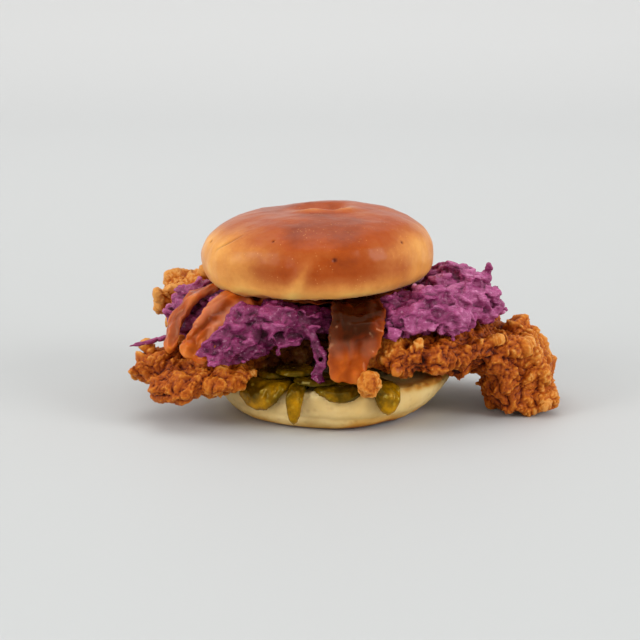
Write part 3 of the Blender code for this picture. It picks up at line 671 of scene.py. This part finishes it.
def make_base():
    made = object_from("base", mesh_copy("base", "bun_base"))
    mesh = remesh(made, BASE_CELL)
    points, edges = points_of(mesh), edges_of(mesh)
    points = smoothed(points, edges, 8)
    set_points(mesh, points)
    normals = normals_of(mesh)
    angles, radius = around(points)
    side = np.clip((radius - 46) / 6, 0, 1)
    free = np.clip((points[:, 2] - 0.6) / 1.5, 0, 1)  # the part that the table doesn't hold flat
    lift = 0.6 * field(points, 14.0, 2) + 0.3 * field(points, 5.0, 4) + 0.12 * field(points, 2.0, 6)
    fold = bell(points[:, 2] - FOLD_LEVEL - 2.5 * field(points, 40.0, 12), 1.3)
    lip = bell(points[:, 2] - LIP_LEVEL, 1.4) * side
    torn_front, torn_right = (bell(turn_from(angles, angle), wide, 4)
                              for angle, wide in (TORN_FRONT, TORN_RIGHT))
    ragged = (torn_front + 0.7 * torn_right) * (1.8 * billow(points, 3.2, 19) - 0.3)
    lift += -0.7 * fold * side + lip * (0.3 + 1.5 * field(points, 4.0, 15) + ragged)
    raise_points(mesh, points, normals, lift * free)

    bake = 0.14 + 0.12 * field(points, 20.0, 21)
    low = np.clip((5.5 + 2.0 * field(points, 12.0, 33) - points[:, 2]) / 5.5, 0, 1)
    right = bell(turn_from(angles, 46.0), 34.0)
    # Darker towards the bottom edge and at the right, with painted shade in the fold line at the
    # right
    bake += low * (0.5 + 0.45 * right) + 0.3 * fold * right * side + 0.08 * right
    bake += 0.32 * lip * np.clip(0.6 + 1.5 * field(points, 5.0, 25), 0, 1)
    bake += 0.4 * lip * (torn_right - torn_front)
    bake += 0.25 * np.clip((points[:, 2] - 17.8) / 0.8, 0, 1)
    add_float(mesh, "bake", np.clip(bake, 0, 1))
    finish_piece(made, ["bun_base"], bread_material())


# Chicken


BATTER_CELL = 0.6
BATTER_SHRINK = -1.7  # how far the solid goes in before the crags are raised on it
LUMP_SIZES = (2.0, 2.8, 3.8)
# Each piece of chicken: its node, how many lumps are added to it, and its seed
CHICKEN = {"left_chicken": ("chicken_left", 46, 3), "right_chicken": ("chicken_right", 62, 7)}


def lump(draw, place, normal, size):
    """A crumb of batter: a dented ball, flattened a little along the normal."""
    shape = bmesh.new()
    bmesh.ops.create_icosphere(shape, subdivisions=2, radius=1.0)
    seed = Vector((draw.uniform(0, 99), draw.uniform(0, 99), draw.uniform(0, 99)))
    stretch = Vector((draw.uniform(0.8, 1.5), draw.uniform(0.7, 1.2), draw.uniform(0.55, 0.9)))
    turn = normal.to_track_quat("Z", "Y").to_matrix()
    turn = turn @ Matrix.Rotation(draw.uniform(0, 6.3), 3, "Z")
    for vertex in shape.verts:
        point = vertex.co * (1 + noise.noise(vertex.co * 1.3 + seed))
        vertex.co = place + turn @ Vector([c * s * size for c, s in zip(point, stretch)])
    return shape


def joined(shapes):
    """One mesh of separate closed shapes, in millimetres, as point and face lists."""
    points, faces, base = [], [], 0
    for shape in shapes:
        shape.verts.ensure_lookup_table()
        points += [v.co[:] for v in shape.verts]
        faces += [[v.index + base for v in f.verts] for f in shape.faces]
        base += len(shape.verts)
        shape.free()
    return points, faces


def with_shapes(name, mesh, shapes):
    """The mesh and the loose shapes in one mesh, ready to be remeshed into one surface."""
    points, faces = joined(shapes)
    own = points_of(mesh)
    own_faces = [list(p.vertices) for p in mesh.polygons]
    count = len(own)
    both = bpy.data.meshes.new(name)
    both.from_pydata([tuple(p) for p in np.concatenate([own, np.array(points)]) * MM], [],
                     own_faces + [[i + count for i in f] for f in faces])
    both.update()
    return both


def nuggets(points, pitch, seed):
    """Nuggets with narrow valleys between them: the height, 0 to 1, and each nugget's number."""
    cells = sampled(noise.voronoi, points, pitch, seed)
    near = np.array([away[0] for away, _ in cells])
    gap = np.array([away[1] for away, _ in cells]) - near
    centres = np.array([places[0] for _, places in cells])
    number = np.sin(centres @ np.array([12.9898, 78.233, 37.719])) * 43758.5453
    number -= np.floor(number)
    plateau = np.clip(gap / 0.3, 0, 1)
    plateau = plateau * plateau * (3 - 2 * plateau)
    return plateau * (0.45 + 0.35 * number + 0.5 * (0.6 - near)), number


def billow(points, pitch, seed):
    """Rounded folds with sharp valleys between them, 0 to 1."""
    return np.clip(np.abs(field(points, pitch, seed)) * 2.4, 0, 1)


def terraced(height, steps):
    """Heights from 0 to 1 pushed towards a few levels, as broken flakes lie on each other."""
    level = height * steps
    part = level - np.floor(level)
    edge = np.clip((part - 0.55) / 0.45, 0, 1)
    return 0.4 * height + 0.6 * (np.floor(level) + edge) / steps


def cragged(name, node, count, seed, keep_out):
    """The node's solid, a little smaller, with lumps melted on away from what touches it."""
    mesh = mesh_copy(name, node, BATTER_SHRINK)
    draw = random.Random(seed)

    def open_to_air(point, normal):
        return not any(tree.find_nearest(point)[3] < 1.6 for tree in keep_out)

    shapes = []
    for place, normal in scatter(mesh, count, seed, open_to_air):
        size = draw.choice(LUMP_SIZES) * draw.uniform(0.8, 1.15)
        shapes.append(lump(draw, place + normal * size * draw.uniform(-0.9, -0.4), normal, size))
    made = object_from(name, with_shapes(name, mesh, shapes) if shapes else mesh)
    mesh = remesh(made, BATTER_CELL)
    drop_scraps(made, 0.5)
    return made, mesh


def batter_relief(mesh, seed, scale=1.0, paler=0.0):
    """Raises the crags in plates, folds, chunks and flakes, and notes the colour's attributes."""
    points, edges = points_of(mesh), edges_of(mesh)
    points = smoothed(points, edges, 7)
    set_points(mesh, points)
    normals = normals_of(mesh)
    # Knobs that stand up like balls are pressed down
    knob = ((points - smoothed(points, edges, 50)) * normals).sum(1)
    points -= normals * (0.8 * np.maximum(knob - 1.3, 0) * scale)[:, None]
    points = smoothed(points, edges, 3)
    set_points(mesh, points)
    normals = normals_of(mesh)
    warp = points + 3.2 * field3(points, 8.0, seed) + 0.9 * field3(points, 2.6, seed + 5)
    plates, number = nuggets(points + 6.0 * field3(points, 14.0, seed + 8), 20.0, seed + 3)
    chunks, _ = nuggets(warp * np.array([1.0, 1.0, 1.25]), 9.0, seed + 1)
    chunky = np.clip(0.4 + 2.2 * field(points, 19.0, seed + 9), 0, 1)
    folds = terraced(billow(warp * np.array([1.0, 1.0, 0.75]), 11.0, seed + 2), 3)
    flakes = terraced(billow(warp, 5.0, seed + 4), 2)
    grit = 0.55 * billow(warp, 2.3, seed + 6) + 0.4 * billow(points, 1.25, seed + 7)
    lift = (2.2 * plates + 1.9 * folds + 0.9 * chunky * chunks + 1.1 * flakes + grit - 2.5) * scale
    raise_points(mesh, points, normals, lift)
    points = points_of(mesh)
    points[:, 2] = np.maximum(points[:, 2], 0.05)
    set_points(mesh, points)
    near, far = smoothed(points, edges, 8), smoothed(points, edges, 60)
    normals = normals_of(mesh)
    fine = ((points - near) * normals).sum(1)
    broad = ((points - far) * normals).sum(1)
    # Painted light: lighter on the lobe at the back left and at the right end, as if lit there, and
    # painted shade under the right shoulder
    paler += 0.34 * (points[:, 0] < -50) * np.clip((points[:, 2] - 38) / 6, 0, 1)
    paler += 0.16 * np.clip((points[:, 0] - 82) / 8, 0, 1)
    paler -= 0.1 * np.clip(1 - np.abs(points[:, 0] - 66) / 12, 0, 1) * (points[:, 2] < 34)
    # rise paints shade into the crevices and highlights onto the crests, from how far each point
    # stands out
    rise = 0.48 + 0.55 * fine + 0.13 * np.clip(broad, -2.5, 1.2) + paler
    add_float(mesh, "rise", np.clip(rise, 0, 1))
    add_float(mesh, "tint", number)
    # soaked: painted shade where the chicken lies under the bun
    add_float(mesh, "soaked", np.clip((46 - around(points)[1]) / 6, 0, 1))


def make_chicken():
    batter = batter_material()
    others = {n: tree_of(n) for n in ("slaw", "sauce", "bun_base", "bun_top", "chicken_left",
                                      "chicken_right")}
    for name, (node, count, seed) in CHICKEN.items():
        keep_out = [tree for n, tree in others.items() if n != node]
        made, mesh = cragged(name, node, count, seed, keep_out)
        batter_relief(mesh, seed)
        finish_piece(made, [node], batter)
    made, mesh = cragged("batter_crumb", "lone_crumb", 0, 11, [])
    batter_relief(mesh, 13, 0.75, 0.22)
    finish_piece(made, ["lone_crumb"], batter)


# Slaw


# Shreds that stand out by themselves: both ends, how far the middle sags, the width, the
# thickness and the turn about the path
STRAYS = (((-58, -19, 43.5), (-95.5, -20, 31.6), 1.2, 3.4, 2.7, 0.2),
          ((-48, -45, 36), (-63, -51, 35.5), 0.6, 2.8, 1.8, 0.1),
          ((65, -8, 54), (72.5, -6, 62), -1.0, 4.2, 2.2, 1.2),
          ((-11, -46, 45), (-4, -53.5, 30), -2.0, 3.4, 2.0, 0.3),
          ((-14, -46, 43), (-8.5, -53, 31.5), -1.5, 2.4, 1.8, -0.4),
          ((-34, -46, 38), (-42, -52, 32.5), 0.5, 3.0, 1.8, -0.2),
          ((-38, -45, 51), (-17, -47.5, 52), -1.2, 9.5, 2.8, 1.45),
          ((28.5, -44.8, 49.5), (42.5, -44.8, 50), -1.0, 9.5, 3.0, 1.5),
          ((37, -36.5, 60), (48.5, -35, 60.5), -0.8, 6.0, 2.6, 1.1),
          ((58.5, -26.5, 63), (59, -29, 52), -0.4, 5.0, 2.4, 0.4),
          ((49, -38, 52), (60, -33, 48), -0.6, 6.0, 2.6, 1.4),
          ((14.5, -43, 54), (24, -45.5, 44), -0.8, 6.0, 2.4, 0.3),
          ((-40.5, -38.5, 57), (-49, -44.5, 50), -0.6, 7.0, 2.6, 0.3),
          ((-45, -46, 51), (-55.5, -49.5, 42), -0.6, 8.0, 2.8, 0.2),
          ((-36, -40.5, 56), (-45, -46, 47), -0.6, 8.0, 2.8, 0.3),
          ((-38, -45, 49), (-49, -48.5, 43), -0.6, 7.0, 2.8, 0.5),
          ((-49, -48, 44), (-61, -49.5, 37), -0.6, 7.0, 2.6, 0.2),
          ((-46, -46.5, 38.5), (-58, -49, 37.5), 0.2, 5.0, 2.8, 1.4))
SHREDS = 330  # places where a shred is tried
SHRINK = -1.1  # how far the solid goes in before the shreds are laid on it
CORE_CELL, SHRED_CELL, SLAW_CELL = 1.2, 0.6, 0.74
GAP = 0.6  # gaps between shreds narrower than twice this are filled with dressing
# Hollows between the shreds, pushed in and given painted shade: place, and half width and height
HOLLOWS = ((-33.5, -48.0, 43.5, 3.2, 2.2), (-25.5, -50.5, 43.0, 2.6, 2.0),
           (-14.0, -47.0, 41.0, 2.2, 2.0), (20.0, -43.5, 47.0, 2.0, 3.0),
           (-79.0, -6.0, 45.0, 2.2, 2.2))
# Turns the slaw's grain out of line with the axes
GRAIN = np.array([[0.8, 0.5, -0.33], [-0.6, 0.66, -0.44], [0.0, 0.55, 0.83]])


def strand(path, width, thickness, twist, edges=8):
    """A shred along its path, in millimetres, with a flat cross-section and blunt ends."""
    shape = bmesh.new()
    last = len(path) - 1
    rings = []
    for i, middle in enumerate(path):
        along = (path[min(i + 1, last)] - path[max(i - 1, 0)]).normalized()
        side = along.cross(Vector((0.31, 0.17, 1.0))).normalized()
        side = Matrix.Rotation(twist[0] + twist[1] * i / last, 3, along) @ side
        up = side.cross(along)
        full = min(1.0, 0.5 + 2.2 * min(i, last - i) / last)
        ring = []
        for k in range(edges):
            a = 2 * math.pi * (k + 0.5) / edges
            across = math.copysign(abs(math.cos(a)) ** 0.6, math.cos(a))
            over = math.copysign(abs(math.sin(a)) ** 0.6, math.sin(a))
            ring.append(shape.verts.new(middle + side * across * width / 2 * full
                                        + up * over * thickness / 2 * full))
        rings.append(ring)
    for lower, upper in zip(rings, rings[1:]):
        for k in range(edges):
            j = (k + 1) % edges
            shape.faces.new((lower[k], lower[j], upper[j], upper[k]))
    shape.faces.new(rings[0][::-1])
    shape.faces.new(rings[-1])
    bmesh.ops.recalc_face_normals(shape, faces=shape.faces)
    return shape


def shred_path(draw, place, normal, tree, length, steps=7):
    """A path that follows the heap's surface from a place on it, with its end a little free."""
    flat = normal.orthogonal().normalized()
    heading = Matrix.Rotation(draw.uniform(0, 2 * math.pi), 3, normal) @ flat
    curl = draw.uniform(-0.5, 0.5)
    point, path = place, []
    free = draw.uniform(-1.0, 0.6)
    for i in range(steps):
        t = i / (steps - 1)
        path.append(point + normal * (0.35 + free * abs(2 * t - 1) ** 2))
        heading = (Matrix.Rotation(curl, 3, normal) @ heading).normalized()
        point = point + heading * (length / (steps - 1))
        near, slope, _, away = tree.find_nearest(point)
        if near is None:
            break
        if away < 5:
            point, normal = near, (normal * 0.5 + slope * 0.5).normalized()
        heading = (heading - normal * heading.dot(normal)).normalized()
    return path


def slaw_shapes():
    """The heap's shrunken core, its shreds, and each shred's middle and lightness."""
    draw = random.Random(5)
    rough = object_from("core", mesh_copy("slaw", "slaw", SHRINK))
    core = remesh(rough, CORE_CELL)
    sunk = 1.3 * (1 - billow(points_of(core), 12.0, 21))
    raise_points(core, points_of(core), normals_of(core), -sunk)
    bpy.data.objects.remove(rough)
    tree = tree_of("slaw")
    lid, sauce = tree_of("bun_top"), tree_of("sauce")
    chicken = [tree_of("chicken_left"), tree_of("chicken_right")]

    def shows(point, normal):
        under = math.hypot(point.x - LID_MIDDLE[0], point.y) < 44
        return not under and not any(t.find_nearest(point)[3] < 0.7 for t in (lid, sauce, *chicken))

    shapes, tones = [], []
    for place, normal in scatter(nodes["slaw"].data, SHREDS, 6, shows):
        chunky = draw.random() < 0.72
        length = draw.uniform(6, 12) if chunky else draw.uniform(8, 16)
        width = draw.uniform(3.6, 7.0) if chunky else draw.uniform(1.6, 2.4)
        place = place - normal * draw.uniform(0.8, 1.9)
        path = shred_path(draw, place, normal, tree, length)
        if len(path) < 5 or any(inside(p, t) for p in path[::2] for t in (lid, sauce)):
            continue
        shapes.append(strand(path, width, draw.uniform(1.5, 2.8),
                             (draw.uniform(-0.9, 0.9), draw.uniform(-0.8, 0.8))))
        tones.append((path[len(path) // 2], draw.uniform(0, 1)))
    for start, end, sag, width, thickness, turn in STRAYS:
        start, end = Vector(start), Vector(end)
        path = [start.lerp(end, t) - Vector((0, 0, sag * math.sin(math.pi * t)))
                for t in (k / 6 for k in range(7))]
        shapes.append(strand(path, width, thickness, (turn, 0.3)))
        tones.append((path[3], 0.55 if width > 4.5 else 0.3))
    return core, shapes, tones


def make_slaw():
    core, shapes, tones = slaw_shapes()
    made = object_from("slaw_heap", with_shapes("slaw_heap", core, shapes))
    mesh = remesh(made, SHRED_CELL)
    for move, cell in ((GAP, SHRED_CELL), (-GAP, SLAW_CELL)):
        set_points(mesh, points_of(mesh) + normals_of(mesh) * move)
        mesh = remesh(made, cell)
    drop_scraps(made, 0.5)
    points, edges = points_of(mesh), edges_of(mesh)
    points = smoothed(points, edges, 1, 0.3)
    set_points(mesh, points)
    normals = normals_of(mesh)

    # Chunks and veins, held back on the thin shred at the left, then the hollows
    warp = points + 3.5 * field3(points, 10.0, 31) + 0.7 * field3(points, 3.0, 33)
    turned = warp @ GRAIN.T
    chunks, number = nuggets(turned * np.array([0.55, 1.0, 1.2]), 7.0, 35)
    veins = billow(turned * np.array([0.4, 1.0, 1.0]), 3.4, 36)
    lift = 1.5 * chunks + 0.55 * veins - 1.15 + 0.2 * field(points, 1.3, 9)
    lift *= np.where(points[:, 0] < -82, 0.3, 1.0)
    hollow = np.zeros(len(points))
    for x, y, z, wide, tall in HOLLOWS:
        away = np.hypot((points[:, 0] - x) / wide, (points[:, 2] - z) / tall)
        hollow = np.maximum(hollow, np.exp(-away ** 4) * (np.abs(points[:, 1] - y) < 6))
    points = points + normals * (lift - 4.5 * hollow)[:, None]
    # What lies behind the front run of sauce stays behind it
    covered = (np.abs(points[:, 0] - 8.0) < 10) & (points[:, 1] < -30) & (points[:, 2] > 40)
    points[:, 1] += 3.5 * smoothed(covered.astype(float), edges, 4).ravel()
    set_points(mesh, points)

    points, normals = points_of(mesh), normals_of(mesh)
    far, near = smoothed(points, edges, 25), smoothed(points, edges, 5)
    broad = ((points - far) * normals).sum(1)
    fine = ((points - near) * normals).sum(1)
    lookup = KDTree(len(tones))
    for i, (place, _) in enumerate(tones):
        lookup.insert(place, i)
    lookup.balance()
    own = np.array([tones[lookup.find(Vector(p))[1]][1] for p in points])
    # Painted shade on the slaw under the lid, and painted light and shade by how far each point
    # bulges out
    under_lid = bell(points[:, 0] + 15.0, 36.0, 4) * (points[:, 1] < 0)
    tone = 0.13 + 0.28 * own + 0.26 * number + 0.06 * np.clip(broad, -1, 1.5) + 0.34 * fine
    tone -= 0.26 * under_lid
    add_float(mesh, "tone", np.clip(smoothed(tone, edges, 2).ravel(), 0, 1))
    # deep: painted shade in the dips and the hollows between shreds, and a little under the lid
    deep = np.clip(-broad * 0.4 - 0.3 + 0.15 * under_lid, 0, 0.8)
    deep += np.clip(-fine * 1.7 - 0.3, 0, 0.6) + 0.65 * hollow
    add_float(mesh, "deep", np.clip(deep, 0, 0.9))
    finish_piece(made, ["slaw"], slaw_material())


# Sauce and pickles


SAUCE_CELL, SLICE_CELL = 0.8, 0.5
LEFT_FLOW, FRONT_FLOW = [[-0.6, -0.3, -0.74]], [[0.1, -0.3, -0.95]]  # the way the sauce runs


def make_sauce():
    made = object_from("sauce_flow", mesh_copy("sauce_flow", "sauce"))
    mesh = remesh(made, SAUCE_CELL)
    points, edges = points_of(mesh), edges_of(mesh)
    points = smoothed(points, edges, 10)
    set_points(mesh, points)
    normals = normals_of(mesh)
    # Distances along the flow count for less, so that the folds run down with it
    left = points[:, 0] < -20
    flow = np.where(left[:, None], LEFT_FLOW, FRONT_FLOW)
    along = (points * flow).sum(1, keepdims=True)
    drawn = points + 1.5 * field3(points, 9.0, 16) - 0.65 * along * flow
    folds = field(drawn, 6.5, 3)
    calm = np.where(left, 1.0, 0.45)
    lift = (1.5 * folds + 0.8 * billow(drawn, 4.5, 5) + 0.35 * field(drawn, 2.4, 6)) * calm - 0.2
    sway = 1.6 * field3(points, 12.0, 14) + 0.9 * field3(points, 4.0, 15)
    raise_points(mesh, points + sway, normals, lift)

    points = points_of(mesh)
    normals = normals_of(mesh)
    edge = np.clip(((points - smoothed(points, edges, 60)) * normals).sum(1) / 1.8, 0, 1)
    front = np.clip(1.3 - np.abs(points[:, 0] - 7.0) / 20.0, 0, 1) * (points[:, 1] < 0)
    # Painted shade: darker towards the top, where the lid shades the sauce
    shade = np.clip((points[:, 2] - 36.0) / 15.0, 0, 1)
    thick = np.where(points[:, 0] < -20, 0.46, 0.36) - 0.28 * edge - 0.3 * folds
    add_float(mesh, "thick", thick + 0.1 * shade + front * (0.2 + 0.42 * shade))
    # veil: a salmon reflection painted along the folds of the flow
    veil = np.clip(0.2 + 2.6 * field(drawn, 5.0, 22), 0, 1) * np.where(points[:, 0] < -63, 0.5, 0.9)
    veil *= 1 - front * np.clip(np.abs(points[:, 2] - 38.5) / 5, 0.55, 1)
    add_float(mesh, "veil", 0.6 * smoothed(veil, edges, 2).ravel())
    finish_piece(made, ["sauce"], sauce_material())


def make_pickles():
    brine = pickle_material()
    for i, node in enumerate(sorted(n for n in nodes if n.startswith("pickle_"))):
        name = node.replace("pickle", "slice")
        made = object_from(name, mesh_copy(name, node))
        mesh = remesh(made, SLICE_CELL)
        points, edges = points_of(mesh), edges_of(mesh)
        points = smoothed(points, edges, 5)
        middle, wide, low = points.mean(0), np.ptp(points[:, 0]), points[:, 2].min()
        if wide < 10.5 and middle[1] < -40:  # the narrow slice at the front widens downwards
            widen = 0.12 + 0.75 * np.exp(-(points[:, 2] - low) / 4.0)
            points[:, 0] += (points[:, 0] - middle[0]) * widen
        set_points(mesh, points)
        lift = 0.28 * field(points, 5.0, i) + 0.12 * field(points, 1.8, i + 9) + 0.2
        raise_points(mesh, points, normals_of(mesh), lift)
        far = smoothed(points, edges, 30)
        edge = np.linalg.norm(points - far, axis=1)
        add_float(mesh, "rim", np.clip(edge / max(0.2, np.percentile(edge, 98)), 0, 1))
        finish_piece(made, [node], brine)


noise.seed_set(NOISE_SEED)
make_camera()
make_light()
make_floor()
make_lid()
make_base()
make_chicken()
make_slaw()
make_sauce()
make_pickles()

bpy.context.scene.view_settings.view_transform = "Standard"
